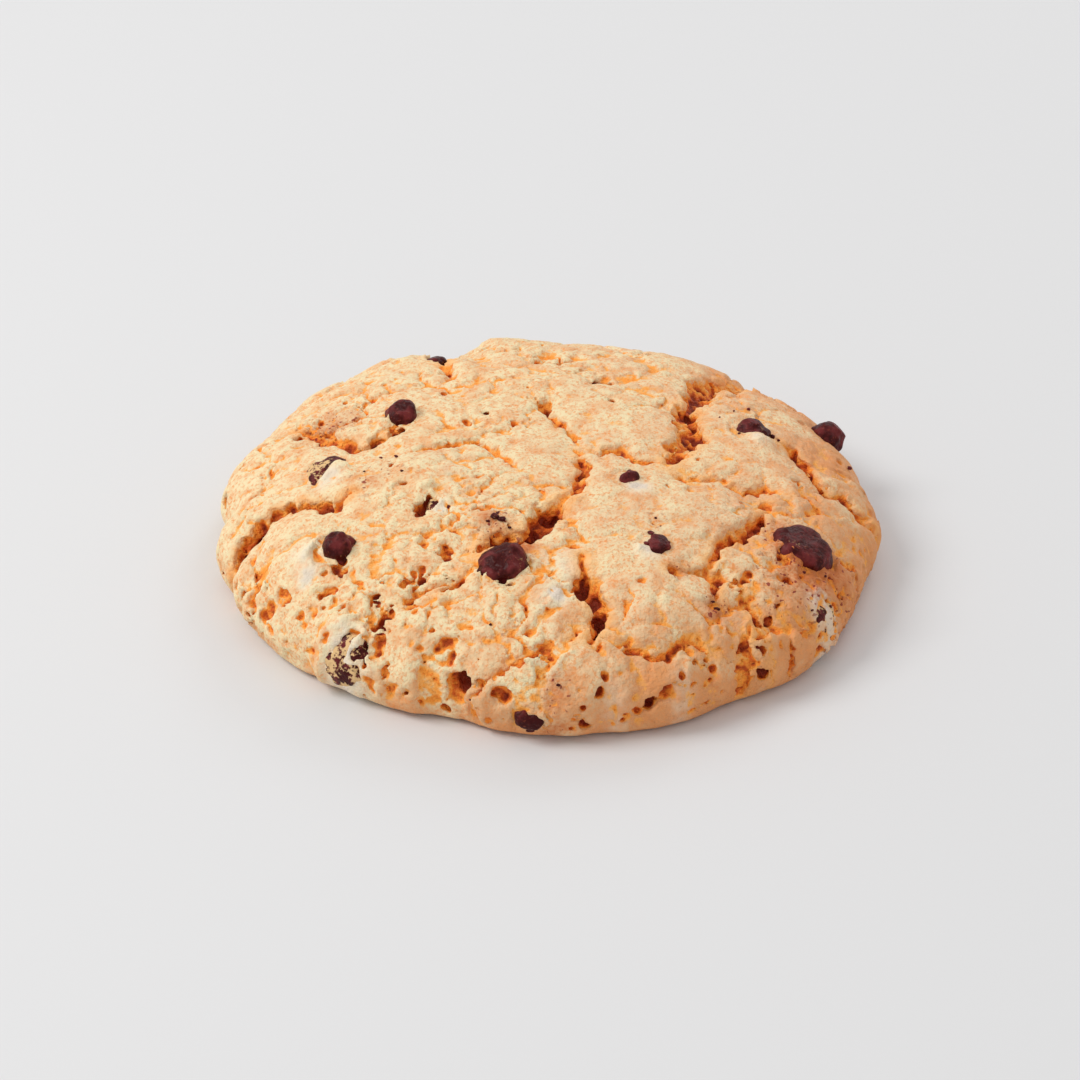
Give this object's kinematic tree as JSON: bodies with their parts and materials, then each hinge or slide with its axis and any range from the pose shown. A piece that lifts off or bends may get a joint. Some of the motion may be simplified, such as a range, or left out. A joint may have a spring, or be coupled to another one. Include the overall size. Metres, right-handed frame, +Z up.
{
  "type": "chocolate chip cookie",
  "caption": "Round, thick, soft-baked cookie with a cracked pale golden crust and glossy dark chocolate chips set into it, on a flat base.",
  "frame": {"origin": "middle of the flat base, on the surface that the cookie rests on", "axes": "+Z up through the crown; -Y faces the viewer of the picture and +X is the viewer's right"},
  "size_m": [0.1081, 0.1106, 0.0217],
  "materials": {
    "baked_dough": "matte",
    "chocolate": "gloss"
  },
  "bodies": {
    "root": {"dough": "baked_dough", "chip_01": "chocolate", "chip_02": "chocolate", "chip_03": "chocolate", "chip_04": "chocolate", "chip_05": "chocolate", "chip_06": "chocolate", "chip_07": "chocolate", "chip_08": "chocolate", "chip_09": "chocolate", "chip_10": "chocolate", "chip_11": "chocolate", "chip_12": "chocolate", "chip_13": "chocolate", "chip_14": "chocolate"}
  },
  "joints": []
}
